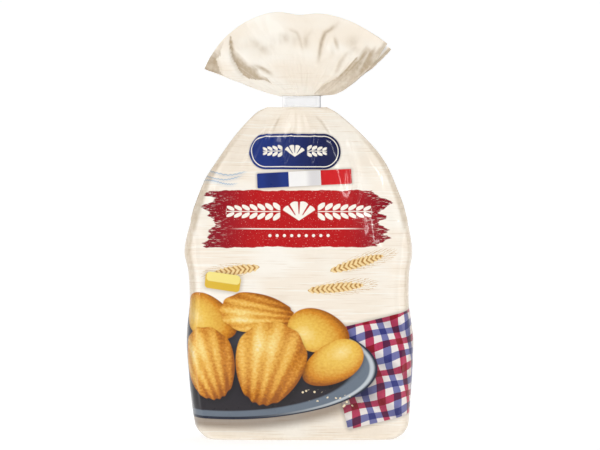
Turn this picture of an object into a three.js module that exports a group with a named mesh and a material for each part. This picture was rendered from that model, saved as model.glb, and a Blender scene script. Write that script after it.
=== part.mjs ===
// A bag of small shell-shaped sponge cakes: printed plastic film with a side gusset at its left and right.
// It stands on its flat bottom. A plastic band gathers its neck, and above the band the film fans out.
// Millimetres, +Z up, front towards -Y, origin at the middle of the bottom.
import * as THREE from 'three';

// ---- Driving dimensions ----
// The film drawn through the band: its ends, half width and half depth. Above the band it swells over it.
const NECK = { bottom: 238.3, top: 247, centreX: 1.8, half: 12.8, deep: 3.8, bow: 0.4, swell: 2 };
// Rounding of the filled bag's bottom edge: a power of 1 is a straight chamfer and 2 a quarter ellipse.
const CORNER = { height: 12, side: 12, front: 7.5, power: 1.6 };
const WALL = 0.9; // the film is drawn thicker than it is, so that it stays one solid

// The filled bag at some heights: half width to the left and to the right, and half depth.
const BODY = [
  { z: 12, left: 75, right: 78.7, deep: 29.8 },
  { z: 33, left: 78, right: 80.6, deep: 31.3 },
  { z: 70, left: 80.9, right: 82.2, deep: 32.5 }, // the belly
  { z: 100, left: 78.6, right: 78.9, deep: 31.2 }, // the waist between two layers of cakes
  { z: 120, left: 79.6, right: 79.7, deep: 31.6 },
  { z: 134, left: 82.2, right: 81.6, deep: 31.9 }, // the shoulder, where the cakes end
  { z: 158, left: 77.2, right: 77.4, deep: 29 },
  { z: 184, left: 68.8, right: 69, deep: 24.5 },
  { z: 201, left: 58.2, right: 60.2, deep: 20.5 },
  { z: 218, left: 45.8, right: 46.2, deep: 15.5 },
  { z: 229, left: 36.2, right: 34.2, deep: 11.5 },
  { z: 236.2, left: 28.2, right: 24.8, deep: 7.8 },
  { z: 238.1, left: 22.8, right: 20, deep: 6 }, // just under the band
];
const SQUARENESS = 3.4; // exponent of the filled section's superellipse

// Above the cakes each gusset folds in between the front and the back, whose edges then nearly meet.
const TUCK = { from: 136, full: 188, depth: 30, share: 0.6, lips: 3, neckLips: 0.8, bow: 0.8 };
// Pleats run down from the neck.
const PLEATS = { count: 20, shortest: 26, reach: 62, depth: 3, width: 0.029, start: 7 };

// The tuft is a fan about a point just under the band.
const FAN = {
  centreX: 1.5, centreZ: 238, radius: 71,
  left: 157.2, right: 33.4, // directions of the two tips, in degrees from +X
  tipLeft: 4, tipRight: 6.4, lean: 1.8, // the rim is longer at the tips, and on the left
  dip: 3.4, dipAt: 0.06, dipWidth: 0.16, // and dips in the middle
  sagLeft: 1.8, sagRight: 6.6, leastRise: 6, // how far the lower edges hang, clear of the band
  // Half gaps between front and back, at their widest, at the mouth and at the edges, and how far both lean.
  puff: 12, flare: 0.95, mouth: 3.4, lips: 2.4, sway: 2.6,
};
const GUSSET_DEPTH = 0.32; // of the groove in each side of the tuft, as a share of its half
// Folds across the tuft, from -1 to 1, with half width, depth, and start and end from band to rim.
const FOLDS = [
  { at: -0.86, wide: 0.1, deep: 0.55, from: 0.25, to: 0.98 },
  { at: -0.66, wide: 0.1, deep: 0.45, from: 0.1, to: 0.82 },
  { at: -0.42, wide: 0.08, deep: 0.28, from: 0.04, to: 0.55 },
  { at: -0.16, wide: 0.07, deep: 0.24, from: 0.04, to: 0.62 },
  { at: 0.06, wide: 0.06, deep: 0.3, from: 0.05, to: 0.7 },
  { at: 0.19, wide: 0.05, deep: 0.26, from: 0.05, to: 0.74 },
  { at: 0.37, wide: 0.06, deep: 0.4, from: 0.15, to: 0.92 },
  { at: 0.58, wide: 0.07, deep: 0.3, from: 0.05, to: 0.66 },
  { at: 0.8, wide: 0.1, deep: 0.5, from: 0.08, to: 0.95 },
];
const BACK_FOLDS = { count: 8, wide: 0.09, outermost: 0.86, deep: [0.25, 0.6], ends: [0.55, 0.95] };
// The inside of the tuft: how much it keeps back from the gussets, its depth at its two ends, as a share of
// that in its middle, and its width at the bottom, as a share of the neck's.
const POCKET = { side: 0.06, end: 0.25, bottom: 0.8 };

const BAND = {
  height: 8.2, halfWidth: 14, halfDepth: 5, corner: 2.2, wall: 0.9,
  rim: 1.2, bevel: 0.3, relief: 0.4, // its face is set back between two rims
};
const LAP = { halfWidth: 6.5, rise: 0.8 }; // the strip's two ends overlap at the back

// ---- Mesh resolution ----
const PANEL = 18; // columns of half the front or half the back
const GUSSET = 6; // columns of half a gusset
const QUARTER = PANEL + GUSSET;
const COLUMNS = 4 * QUARTER;
const BODY_LEVELS = [
  0, 1.2, 3.5, 7, 12, 21, 36, 54, 71, 87, 103, 119, 134, 148, 161, 173, 184, 194, 203, 211, 218.5, 225, 230.5,
  234, 236.6, 238.1,
];
const TUFT_STEPS = [0, 0.03, 0.07, 0.14, 0.23, 0.33, 0.44, 0.55, 0.66, 0.77, 0.87, 0.95, 1];
const POCKET_STEPS = [0.97, 0.88, 0.76, 0.62, 0.48, 0.34];

// ---- Small maths ----
const clamp01 = (x) => Math.min(1, Math.max(0, x));
const ramp = (from, to, x) => THREE.MathUtils.smoothstep((x - from) / (to - from), 0, 1);
const scatter = (k, salt) => {
  const x = Math.sin(k * 12.9898 + salt * 78.233) * 43758.5453;
  return x - Math.floor(x);
};
// 1 in the crease of a fold, 0 beyond its half width.
const crease = (distance, halfWidth) => clamp01(1 - Math.abs(distance) / halfWidth) ** 2;
// Distance between two places round the bag, each from 0 to 1.
const around = (a, b) => {
  const d = Math.abs(a - b) % 1;
  return Math.min(d, 1 - d);
};

// A smooth curve through one measure of the stations, which never overshoots them.
function through(stations, measure, z) {
  const last = stations.length - 1;
  if (z <= stations[0].z) return stations[0][measure];
  if (z >= stations[last].z) return stations[last][measure];
  const rise = (j) => stations[j + 1].z - stations[j].z;
  const slope = (j) => (stations[j + 1][measure] - stations[j][measure]) / rise(j);
  const tangent = (j) => {
    if (j === 0 || j === last) return slope(j === 0 ? 0 : last - 1);
    const [before, after] = [slope(j - 1), slope(j)];
    return before * after <= 0 ? 0 : (2 * before * after) / (before + after);
  };
  const i = stations.findIndex((station, j) => z < stations[j + 1].z);
  const t = (z - stations[i].z) / rise(i);
  const [s2, s3] = [t * t, t * t * t];
  const value = (2 * s3 - 3 * s2 + 1) * stations[i][measure] + (3 * s2 - 2 * s3) * stations[i + 1][measure];
  return value + rise(i) * ((s3 - 2 * s2 + t) * tangent(i) + (s3 - s2) * tangent(i + 1));
}

// ---- The filled part of the bag ----
// Points of one quarter of a superellipse, evenly spaced along it from the Y axis to the X axis.
function evenQuarter(halfX, halfY, exponent) {
  const fine = 240;
  const points = [];
  for (let i = 0; i <= fine; i++) {
    const angle = (Math.PI / 2) * (i / fine);
    const [x, y] = [Math.sin(angle), Math.cos(angle)].map((part) => part ** (2 / exponent));
    points.push(new THREE.Vector2(halfX * x, halfY * y));
  }
  const lengths = [0];
  for (let i = 1; i <= fine; i++) lengths.push(lengths[i - 1] + points[i].distanceTo(points[i - 1]));
  const even = [];
  let i = 0;
  for (let k = 0; k <= QUARTER; k++) {
    const wanted = (lengths[fine] * k) / QUARTER;
    while (i < fine - 1 && lengths[i + 1] < wanted) i++;
    const share = clamp01((wanted - lengths[i]) / (lengths[i + 1] - lengths[i]));
    even.push(points[i].clone().lerp(points[i + 1], share));
  }
  return even;
}

// The bulge of the front or the back at a place across it, from 0 in the middle to 1 at its edge.
const bulge = (place, bow) => (1 - Math.abs(place) ** 2.2) ** bow;

// A quarter of the section where the gusset is folded in: half the front, then half the gusset.
function foldedQuarter(half, deep, lips, bow) {
  const tuck = Math.min(TUCK.depth, TUCK.share * half);
  const points = [];
  for (let k = 0; k <= PANEL; k++) {
    const share = k / PANEL;
    points.push(new THREE.Vector2(half * share, lips + (deep - lips) * bulge(share, bow)));
  }
  for (let k = 1; k <= GUSSET; k++) {
    const share = k / GUSSET;
    points.push(new THREE.Vector2(half - tuck * share, lips * (1 - share)));
  }
  return points;
}

// A closed loop from quarters, from the middle of the front to the right and on round the back.
function loopOf(rightQuarter, leftQuarter, centreX, z) {
  const loop = [];
  for (let column = 0; column < COLUMNS; column++) {
    const quarter = Math.floor(column / QUARTER);
    const k = column % QUARTER;
    const point = (quarter < 2 ? rightQuarter : leftQuarter)[quarter % 2 ? QUARTER - k : k];
    const [toRight, toBack] = [quarter < 2 ? 1 : -1, quarter === 1 || quarter === 2 ? 1 : -1];
    loop.push(new THREE.Vector3(centreX + toRight * point.x, toBack * point.y, z));
  }
  return loop;
}

function neckLoop(z, swell = 0) {
  const quarter = foldedQuarter(NECK.half + swell, NECK.deep + swell, TUCK.neckLips, NECK.bow);
  return loopOf(quarter, quarter, NECK.centreX, z);
}

// How far the film is drawn in by its pleats, at a place round the bag and a height.
function drawnIn(place, z) {
  const below = NECK.bottom - z;
  let depth = 0;
  for (let k = 0; k < PLEATS.count; k++) {
    const centre = (k + 0.5 + 0.5 * (scatter(k, 1) - 0.5)) / PLEATS.count;
    const reach = PLEATS.shortest + PLEATS.reach * scatter(k, 2);
    const fade = ramp(0, PLEATS.start, below) * ramp(reach, PLEATS.start, below);
    const strength = PLEATS.depth * (0.55 + 0.45 * scatter(k, 3));
    depth += strength * fade * crease(around(place, centre), PLEATS.width);
  }
  return depth;
}

function bodyLoop(z) {
  const up = clamp01(z / CORNER.height);
  const round = 1 - (1 - (1 - up) ** CORNER.power) ** (1 / CORNER.power);
  const folded = ramp(TUCK.from, TUCK.full, z);
  const lips = THREE.MathUtils.lerp(TUCK.lips, TUCK.neckLips, ramp(TUCK.full, NECK.bottom, z));
  const deep = through(BODY, 'deep', z) - CORNER.front * round;
  const [rightQuarter, leftQuarter] = ['right', 'left'].map((side) => {
    const half = through(BODY, side, z) - CORNER.side * round;
    const flat = foldedQuarter(half, deep, lips, TUCK.bow);
    const quarter = evenQuarter(half, deep, SQUARENESS).map((point, k) => point.lerp(flat[k], folded));
    const reach = Math.max(...quarter.map((point) => point.x));
    for (const point of quarter) point.x *= half / reach;
    return quarter;
  });
  const loop = loopOf(rightQuarter, leftQuarter, 0, z);
  return loop.map((point, column) => {
    const ahead = loop[(column + 1) % COLUMNS];
    const behind = loop[(column + COLUMNS - 1) % COLUMNS];
    const inward = new THREE.Vector3(behind.y - ahead.y, ahead.x - behind.x, 0).normalize();
    return point.clone().addScaledVector(inward, drawnIn(column / COLUMNS, z));
  });
}

// ---- The tuft above the band ----
// Where a column lies: its layer, its side, its place across the tuft from -1 to 1, and how far into the
// gusset it is, from 0 at the tuft's edge to 1 at the gusset's fold.
function across(column) {
  const side = column < 2 * QUARTER ? 1 : -1;
  const fromFold = Math.abs((column % (2 * QUARTER)) - QUARTER);
  const layer = (column % (2 * QUARTER) < QUARTER) === (side === 1) ? -1 : 1;
  if (fromFold >= GUSSET) return { q: (side * (QUARTER - fromFold)) / PANEL, layer, side, inGusset: 0 };
  return { q: side, layer, side, inGusset: 1 - fromFold / GUSSET };
}

// How much of the gap between front and back a fold takes away.
function foldDepth(q, share, layer) {
  let depth = 0;
  if (layer < 0) {
    for (const fold of FOLDS) {
      const middle = (fold.from + fold.to) / 2;
      const fade = ramp(fold.from, middle, share) * ramp(fold.to, middle, share);
      depth += fold.deep * fade * crease(q - fold.at, fold.wide);
    }
    return clamp01(depth);
  }
  const { count, wide, outermost, deep, ends } = BACK_FOLDS;
  for (let k = 0; k < count; k++) {
    const at = outermost * ((2 * (k + 0.5 * scatter(k, 5))) / (count - 0.5) - 1);
    const fade = ramp(0.04, 0.3, share) * ramp(THREE.MathUtils.lerp(...ends, scatter(k, 6)), 0.3, share);
    depth += THREE.MathUtils.lerp(...deep, scatter(k, 7)) * fade * crease(q - at, wide);
  }
  return clamp01(depth);
}

// The middle surface of the tuft, between its front and its back.
function tuftMiddle(q, share, neckX) {
  const direction = THREE.MathUtils.degToRad(THREE.MathUtils.lerp(FAN.left, FAN.right, (q + 1) / 2));
  const dip = FAN.dip * Math.exp(-(((q - FAN.dipAt) / FAN.dipWidth) ** 2));
  const tips = (q < 0 ? FAN.tipLeft : FAN.tipRight) * Math.abs(q) ** 1.6;
  const radius = FAN.radius + tips - FAN.lean * Math.sin(Math.PI * q) - dip;
  const rimX = FAN.centreX + radius * Math.cos(direction);
  const rimZ = FAN.centreZ + radius * Math.sin(direction);
  const hang = (q < 0 ? FAN.sagLeft : FAN.sagRight) * Math.sin(Math.PI * share ** 0.75) * Math.abs(q) ** 3;
  return new THREE.Vector3(
    THREE.MathUtils.lerp(neckX, rimX, share),
    FAN.sway * Math.sin(2.6 * q + 0.7) * share ** 2,
    Math.max(THREE.MathUtils.lerp(NECK.top, rimZ, share) - hang, NECK.top + FAN.leastRise * share),
  );
}

// Half the gap between the outer faces of front and back.
function tuftHalf(q, share, layer, neckY) {
  const puffed = FAN.puff * Math.sin(Math.PI * share ** FAN.flare) + FAN.mouth * share;
  const open = puffed * (1 - foldDepth(q, share, layer)) * bulge(q, TUCK.bow);
  return Math.abs(neckY) * (1 - share) ** 2 + open + FAN.lips * Math.sqrt(share);
}

function tuftLoop(share) {
  return neckLoop(NECK.top, NECK.swell).map((neck, column) => {
    const { q, layer, side, inGusset } = across(column);
    const inner = q - side * GUSSET_DEPTH * inGusset * Math.sqrt(share);
    const point = tuftMiddle(inner, share, neck.x);
    const edge = tuftHalf(q, share, layer, neck.y);
    point.y += layer * edge * (1 - inGusset);
    return point;
  });
}

// The inside of the tuft, one wall in from the outer faces and ending before the gussets' folds.
function pocketLoop(share) {
  const reach = 1 - GUSSET_DEPTH - POCKET.side;
  return neckLoop(NECK.top, NECK.swell).map((neck, column) => {
    const { q, layer, side, inGusset } = across(column);
    const inner = reach * q + side * (POCKET.side / 2) * inGusset;
    const point = tuftMiddle(inner, share, POCKET.bottom * neck.x);
    const half = tuftHalf(inner, share, layer, neck.y) - WALL;
    const atEnd = Math.abs(q) ** 4;
    point.y += layer * half * (1 - atEnd + POCKET.end * atEnd * (1 - inGusset));
    return point;
  });
}

// ---- Building closed meshes from loops of points ----
// Each loop has the same number of points. The first and last loops are capped, or joined to each other.
function skin(loops, joinEnds = false) {
  const points = loops.flat();
  const wide = loops[0].length;
  const index = [];
  const at = (loop, column) => (loop % loops.length) * wide + (column % wide);
  const belts = joinEnds ? loops.length : loops.length - 1;
  for (let loop = 0; loop < belts; loop++) {
    for (let column = 0; column < wide; column++) {
      const [a, b] = [at(loop, column), at(loop, column + 1)];
      const [c, d] = [at(loop + 1, column + 1), at(loop + 1, column)];
      index.push(a, b, c, a, c, d);
    }
  }
  const caps = joinEnds ? [] : [[0, -1], [loops.length - 1, 1]];
  for (const [loop, outward] of caps) {
    const middle = points.length;
    points.push(loops[loop].reduce((sum, p) => sum.add(p), new THREE.Vector3()).divideScalar(wide));
    for (let column = 0; column < wide; column++) {
      const [a, b] = [at(loop, column), at(loop, column + 1)];
      index.push(...(outward > 0 ? [middle, a, b] : [middle, b, a]));
    }
  }
  return new THREE.BufferGeometry().setFromPoints(points).setIndex(index);
}

// ---- The pieces ----
function bag() {
  const loops = [
    ...BODY_LEVELS.map(bodyLoop),
    neckLoop(NECK.bottom),
    neckLoop(NECK.top),
    ...TUFT_STEPS.map(tuftLoop),
    ...POCKET_STEPS.map(pocketLoop),
  ];
  const film = new THREE.MeshStandardMaterial({ color: 0xf6efe2, roughness: 0.35, metalness: 0 });
  const mesh = new THREE.Mesh(skin(loops), film);
  mesh.name = 'bag';
  return mesh;
}

// The band's outline seen from above, with round corners and two extra points where its ends overlap.
function bandOutline() {
  const { halfWidth: x, halfDepth: y, corner } = BAND;
  const outline = new THREE.Shape();
  outline.moveTo(0, -y);
  outline.lineTo(x - corner, -y);
  outline.absarc(x - corner, -y + corner, corner, -Math.PI / 2, 0);
  outline.lineTo(x, y - corner);
  outline.absarc(x - corner, y - corner, corner, 0, Math.PI / 2);
  outline.lineTo(LAP.halfWidth, y);
  outline.lineTo(-LAP.halfWidth, y);
  outline.lineTo(-x + corner, y);
  outline.absarc(-x + corner, y - corner, corner, Math.PI / 2, Math.PI);
  outline.lineTo(-x, -y + corner);
  outline.absarc(-x + corner, -y + corner, corner, Math.PI, 1.5 * Math.PI);
  return outline.extractPoints(6).shape;
}

// A plastic strip bent round the neck, its face set back between a rim along the top and the bottom.
function band() {
  const { height, halfDepth, wall, rim, bevel, relief } = BAND;
  const outline = bandOutline();
  const low = (NECK.bottom + NECK.top - height) / 2;
  // Distance out from the outline and height above the lower edge, once round the strip's thickness.
  const section = [
    [-wall, 0], [0, 0], [0, rim], [-relief, rim + bevel],
    [-relief, height - rim - bevel], [0, height - rim], [0, height], [-wall, height],
  ];
  const loops = section.map(([out, up]) => outline.map((point, i) => {
    const ahead = outline[(i + 1) % outline.length];
    const behind = outline[(i + outline.length - 1) % outline.length];
    const outward = new THREE.Vector2(ahead.y - behind.y, behind.x - ahead.x).normalize();
    const atLap = point.y > halfDepth - 0.01 && Math.abs(point.x) < LAP.halfWidth + 0.01;
    const rise = atLap && out > -wall ? LAP.rise : 0;
    return new THREE.Vector3(
      NECK.centreX + point.x + outward.x * out,
      point.y + outward.y * out + rise,
      low + up,
    );
  }));
  const plastic = new THREE.MeshStandardMaterial({ color: 0xf4f4f6, roughness: 0.3, metalness: 0 });
  const mesh = new THREE.Mesh(skin(loops, true), plastic);
  mesh.name = 'clip';
  return mesh;
}

const group = new THREE.Group();
group.add(bag(), band());
export default group;
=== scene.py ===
"""A standing bag of shell-shaped sponge cakes: printed film with side gussets, gathered by a plastic band.

The bag is one web of film, so its front and back are cut from one wrinkled surface. Lengths in the film's
own sections are millimetres, as in the part's source, and become metres where a mesh is made.
"""

import math

import bpy
import numpy as np
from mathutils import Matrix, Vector, noise


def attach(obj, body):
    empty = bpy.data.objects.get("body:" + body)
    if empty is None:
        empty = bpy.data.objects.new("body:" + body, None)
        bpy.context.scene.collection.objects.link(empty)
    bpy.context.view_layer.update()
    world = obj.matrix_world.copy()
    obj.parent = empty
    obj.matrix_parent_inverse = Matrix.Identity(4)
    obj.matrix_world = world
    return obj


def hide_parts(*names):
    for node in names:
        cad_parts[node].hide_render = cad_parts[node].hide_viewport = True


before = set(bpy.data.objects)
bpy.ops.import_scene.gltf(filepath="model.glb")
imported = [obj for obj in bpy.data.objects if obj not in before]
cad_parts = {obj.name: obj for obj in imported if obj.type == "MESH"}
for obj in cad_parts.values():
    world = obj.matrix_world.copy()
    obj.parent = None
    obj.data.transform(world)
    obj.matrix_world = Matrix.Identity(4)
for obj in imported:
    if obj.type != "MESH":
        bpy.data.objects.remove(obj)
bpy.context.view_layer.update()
MM = 0.001


# ---- The film's form ----
# One web of 35 micron polypropylene, with a gusset folded into each side. It is filled with cakes, drawn
# together at the neck and fanned out above it. Rows of points run round the bag, from the weld under it to
# its mouth, and columns run up it, from the middle of the front to the right and on round the back.
NECK = dict(bottom=238.3, top=247.0, centre_x=1.8, half=12.8, deep=3.8, bow=0.4, swell=2.0)
CORNER = dict(height=12, side=12, front=7.5, power=1.6)
BODY = np.array([  # height, half width to the left and to the right, half depth
    (12, 75, 78.7, 29.8), (33, 78, 80.6, 31.3), (70, 80.9, 82.2, 32.5), (100, 78.6, 78.9, 31.2),
    (120, 79.6, 79.7, 31.6), (134, 82.2, 81.6, 31.9), (158, 77.2, 77.4, 29), (184, 68.8, 69, 24.5),
    (201, 58.2, 60.2, 20.5), (218, 45.8, 46.2, 15.5), (229, 36.2, 34.2, 11.5), (236.2, 28.2, 24.8, 7.8),
    (238.1, 22.8, 20, 6),
])
SQUARENESS = 3.4
WELDED = dict(depth=0.985, rise=0.7)  # how far the bottom draws in to its weld, and how high that lies
TUCK = {"from": 136, "full": 188, "depth": 30, "share": 0.6, "lips": 3, "neck_lips": 0.8, "bow": 0.8}
FAN = dict(
    centre_x=1.5, centre_z=238, radius=71, left=157.2, right=33.4, tip_left=4, tip_right=6.4, lean=1.8,
    dip=3.4, dip_at=0.06, dip_width=0.16, sag_left=1.8, sag_right=6.6, least_rise=6,
    puff=12, flare=0.95, mouth=3.4, lips=2.4, sway=2.6, gusset=0.32,
    parted=3.6,  # degrees between the front's right corner and the back's, at the mouth
)
PANEL = 72  # columns of half the front or half the back
GUSSET = 24  # columns of half a gusset
QUARTER = PANEL + GUSSET
COLUMNS = 4 * QUARTER


def ramp(start, end, x):
    """0 before start, 1 after end, and smooth between them. Start may be the larger."""
    t = np.clip((np.asarray(x, float) - start) / (end - start), 0, 1)
    return t * t * (3 - 2 * t)


def through(stations, measure, z):
    """A smooth curve through one measure of the stations, which never overshoots them."""
    at, value = stations[:, 0], stations[:, measure]
    slope = np.diff(value) / np.diff(at)
    tangent = np.concatenate([slope[:1], np.zeros(len(at) - 2), slope[-1:]])
    before, after = slope[:-1], slope[1:]
    same = before * after > 0
    tangent[1:-1][same] = (2 * before * after)[same] / (before + after)[same]
    z = np.clip(z, at[0], at[-1])
    i = int(np.clip(np.searchsorted(at, z, side="right") - 1, 0, len(at) - 2))
    gap = at[i + 1] - at[i]
    t = (z - at[i]) / gap
    ends = (2 * t**3 - 3 * t**2 + 1) * value[i] + (3 * t**2 - 2 * t**3) * value[i + 1]
    return ends + (t**3 - 2 * t**2 + t) * gap * tangent[i] + (t**3 - t**2) * gap * tangent[i + 1]


def filled_quarter(half, deep):
    """A quarter of the filled section, a superellipse, in points evenly spaced from Y axis to X axis."""
    angle = np.linspace(0, math.pi / 2, 2000)
    x, y = half * np.sin(angle) ** (2 / SQUARENESS), deep * np.cos(angle) ** (2 / SQUARENESS)
    length = np.concatenate([[0], np.cumsum(np.hypot(np.diff(x), np.diff(y)))])
    even = np.linspace(0, length[-1], QUARTER + 1)
    return np.stack([np.interp(even, length, x), np.interp(even, length, y)], axis=1)


def bulge(across, bow):
    return np.clip(1 - np.abs(across) ** 2.2, 0, 1) ** bow


def folded_quarter(half, deep, lips, bow):
    """A quarter of the section where the gusset is folded in: half the front, then half the gusset."""
    tuck = min(TUCK["depth"], TUCK["share"] * half)
    panel = np.linspace(0, 1, PANEL + 1)
    fold = np.linspace(0, 1, GUSSET + 1)[1:]
    x = np.concatenate([half * panel, half - tuck * fold])
    y = np.concatenate([lips + (deep - lips) * bulge(panel, bow), lips * (1 - fold)])
    return np.stack([x, y], axis=1)


def loop_of(right, left, centre_x, z):
    """A closed row of points from the quarters to the right and to the left."""
    sides = [right[:-1] * (1, -1), right[:0:-1] * (1, 1), left[:-1] * (-1, 1), left[:0:-1] * (-1, -1)]
    plan = np.concatenate(sides)
    return np.column_stack([plan[:, 0] + centre_x, plan[:, 1], np.full(COLUMNS, float(z))])


def neck_loop(z, swell=0.0):
    quarter = folded_quarter(NECK["half"] + swell, NECK["deep"] + swell, TUCK["neck_lips"], NECK["bow"])
    return loop_of(quarter, quarter, NECK["centre_x"], z)


def body_loop(z):
    up = min(1, z / CORNER["height"])
    rounding = 1 - (1 - (1 - up) ** CORNER["power"]) ** (1 / CORNER["power"])
    folded = ramp(TUCK["from"], TUCK["full"], z)
    lips = TUCK["lips"] + (TUCK["neck_lips"] - TUCK["lips"]) * ramp(TUCK["full"], NECK["bottom"], z)
    deep = through(BODY, 3, z) - CORNER["front"] * rounding
    quarters = []
    for measure in (2, 1):
        half = through(BODY, measure, z) - CORNER["side"] * rounding
        flat = folded_quarter(half, deep, lips, TUCK["bow"])
        quarter = (1 - folded) * filled_quarter(half, deep) + folded * flat
        quarter[:, 0] *= half / quarter[:, 0].max()
        quarters.append(quarter)
    return loop_of(*quarters, 0, z)


def under_loop(share):
    """A row under the bag, from its bottom's edge at 0 to the weld at 1, where front and back meet."""
    edge = body_loop(0)
    edge[:, 1] *= 1 - WELDED["depth"] * share
    edge[:, 2] = WELDED["rise"] * math.sin(share * math.pi / 2)
    return edge


def across_tuft():
    """Each column's place across the tuft, -1 to 1, its layer, its side and its share into the gusset."""
    column = np.arange(COLUMNS)
    side = np.where(column < 2 * QUARTER, 1, -1)
    from_fold = np.abs(column % (2 * QUARTER) - QUARTER)
    layer = np.where((column < QUARTER) | (column >= 3 * QUARTER), -1, 1)
    q = side * np.clip((QUARTER - from_fold) / PANEL, 0, 1)
    return q, layer, side, np.clip(1 - from_fold / GUSSET, 0, 1)


def tuft_loop(share):
    neck = neck_loop(NECK["top"], NECK["swell"])
    q, layer, side, in_gusset = across_tuft()
    inner = q - side * FAN["gusset"] * in_gusset * math.sqrt(share)
    parted = np.where(layer < 0, 1 - in_gusset, 0) * ramp(0.86, 1, q) * share**1.6
    turned = (FAN["right"] - FAN["left"]) * (inner + 1) / 2 + FAN["parted"] * parted
    direction = np.radians(FAN["left"] + turned)
    tips = np.where(inner < 0, FAN["tip_left"], FAN["tip_right"]) * np.abs(inner) ** 1.6
    dip = FAN["dip"] * np.exp(-(((inner - FAN["dip_at"]) / FAN["dip_width"]) ** 2))
    radius = FAN["radius"] + tips - FAN["lean"] * np.sin(math.pi * inner) - dip
    rim_x = FAN["centre_x"] + radius * np.cos(direction)
    rim_z = FAN["centre_z"] + radius * np.sin(direction)
    sag = np.where(inner < 0, FAN["sag_left"], FAN["sag_right"])
    hang = sag * math.sin(math.pi * share**0.75) * np.abs(inner) ** 3
    x = neck[:, 0] * (1 - share) + rim_x * share
    risen = NECK["top"] * (1 - share) + rim_z * share - hang
    z = np.maximum(risen, NECK["top"] + FAN["least_rise"] * share)
    puffed = FAN["puff"] * math.sin(math.pi * share ** FAN["flare"]) + FAN["mouth"] * share
    half = np.abs(neck[:, 1]) * (1 - share) ** 2 + puffed * bulge(q, TUCK["bow"])
    half = half + FAN["lips"] * math.sqrt(share)
    lean = FAN["sway"] * np.sin(2.6 * inner + 0.7) * share**2
    return np.column_stack([x, lean + layer * half * (1 - in_gusset), z])


UNDER = np.linspace(1, 0, 9)[:-1]
HEIGHTS = np.concatenate([
    np.linspace(0, 12, 11)[:-1], np.linspace(12, 130, 52)[:-1], np.linspace(130, 238.1, 76),
])
FAN_SHARES = np.linspace(0, 1, 78)
film = np.stack(
    [under_loop(share) for share in UNDER]
    + [body_loop(z) for z in HEIGHTS]
    + [neck_loop(NECK["bottom"]), neck_loop(NECK["top"])]
    + [tuft_loop(share) for share in FAN_SHARES]
)
rows = film.shape[0]
first_body = len(UNDER)
first_neck = first_body + len(HEIGHTS)
first_tuft = first_neck + 2


def outward(surface):
    """The unit normal of a surface of rows and columns that closes on itself from column to column."""
    round_it = np.roll(surface, -1, axis=1) - np.roll(surface, 1, axis=1)
    up_it = np.gradient(surface, axis=0)
    normal = np.cross(round_it, up_it)
    return normal / np.maximum(np.linalg.norm(normal, axis=2, keepdims=True), 1e-9)


# ---- Creases and bulges of the film ----
# The cakes press softly against the film, the gathered neck draws pleats into it, and the stiff film
# breaks into sharp creases where it fans out. Each is a small move of the surface in or out.
q, layer, _, in_gusset = across_tuft()
x, z = film[..., 0], film[..., 2]
facing = {"front": (layer < 0) & (in_gusset == 0), "back": (layer > 0) & (in_gusset == 0)}
relief = np.zeros(x.shape)
# The film's painted shade and its density where it lies double, and below 0 a painted highlight in white.
doubled_and_painted_light = np.zeros(x.shape)  # how dense folds make the film look, or less than 0 where it shines white


def beside(path):
    """How far each point lies from a path up the bag, more than 0 to its right, and how far along it."""
    nearest, signed, along = np.full(x.shape, 1e9), np.zeros(x.shape), np.zeros(x.shape)
    steps = [math.dist(a, b) for a, b in zip(path, path[1:])]
    passed = 0
    for (ax, az), (bx, bz), step in zip(path, path[1:], steps):
        dx, dz = (bx - ax) / step, (bz - az) / step
        t = np.clip((x - ax) * dx + (z - az) * dz, 0, step)
        away = np.hypot(x - ax - t * dx, z - az - t * dz)
        right = (x - ax) * dz - (z - az) * dx
        closer = away < nearest
        nearest = np.where(closer, away, nearest)
        signed = np.where(closer, np.where(right < 0, -away, away), signed)
        along = np.where(closer, (passed + t) / sum(steps), along)
        passed += step
    return signed, along


def fade(along, ends=0.6):
    return np.sin(math.pi * np.clip(along, 0.02, 0.98)) ** ends


def paint_dense_and_shade(density_and_shade):
    """Darkens the film's colour to at least this much, for film lying double and as painted shade."""
    np.maximum(doubled_and_painted_light, density_and_shade, out=doubled_and_painted_light)


def crease(path, drop, width, dense_and_shade=0.0, face="front", lip=1.4):
    """A fold whose surface drops just to the right of its path and comes up again over a width."""
    away, along = beside(path)
    slope = np.where(away > 0, np.clip(1 - away / width, 0, 1), np.clip(1 + away / lip, 0, 1))
    slope *= fade(along) * facing[face]
    # Painted shade along the fold, as dense as given.
    paint_dense_and_shade(dense_and_shade * slope**0.7)
    return -drop * slope


def dent(path, drop, width, dense_and_shade=0.0, ends=0.6, face="front"):
    """A round groove along a path, or a ridge where its drop is less than 0."""
    away, along = beside(path)
    depth = np.exp(-((away / width) ** 2)) * fade(along, ends) * facing[face]
    # Painted shade along the groove, as dense as given.
    paint_dense_and_shade(dense_and_shade * depth)
    return -drop * depth


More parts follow.
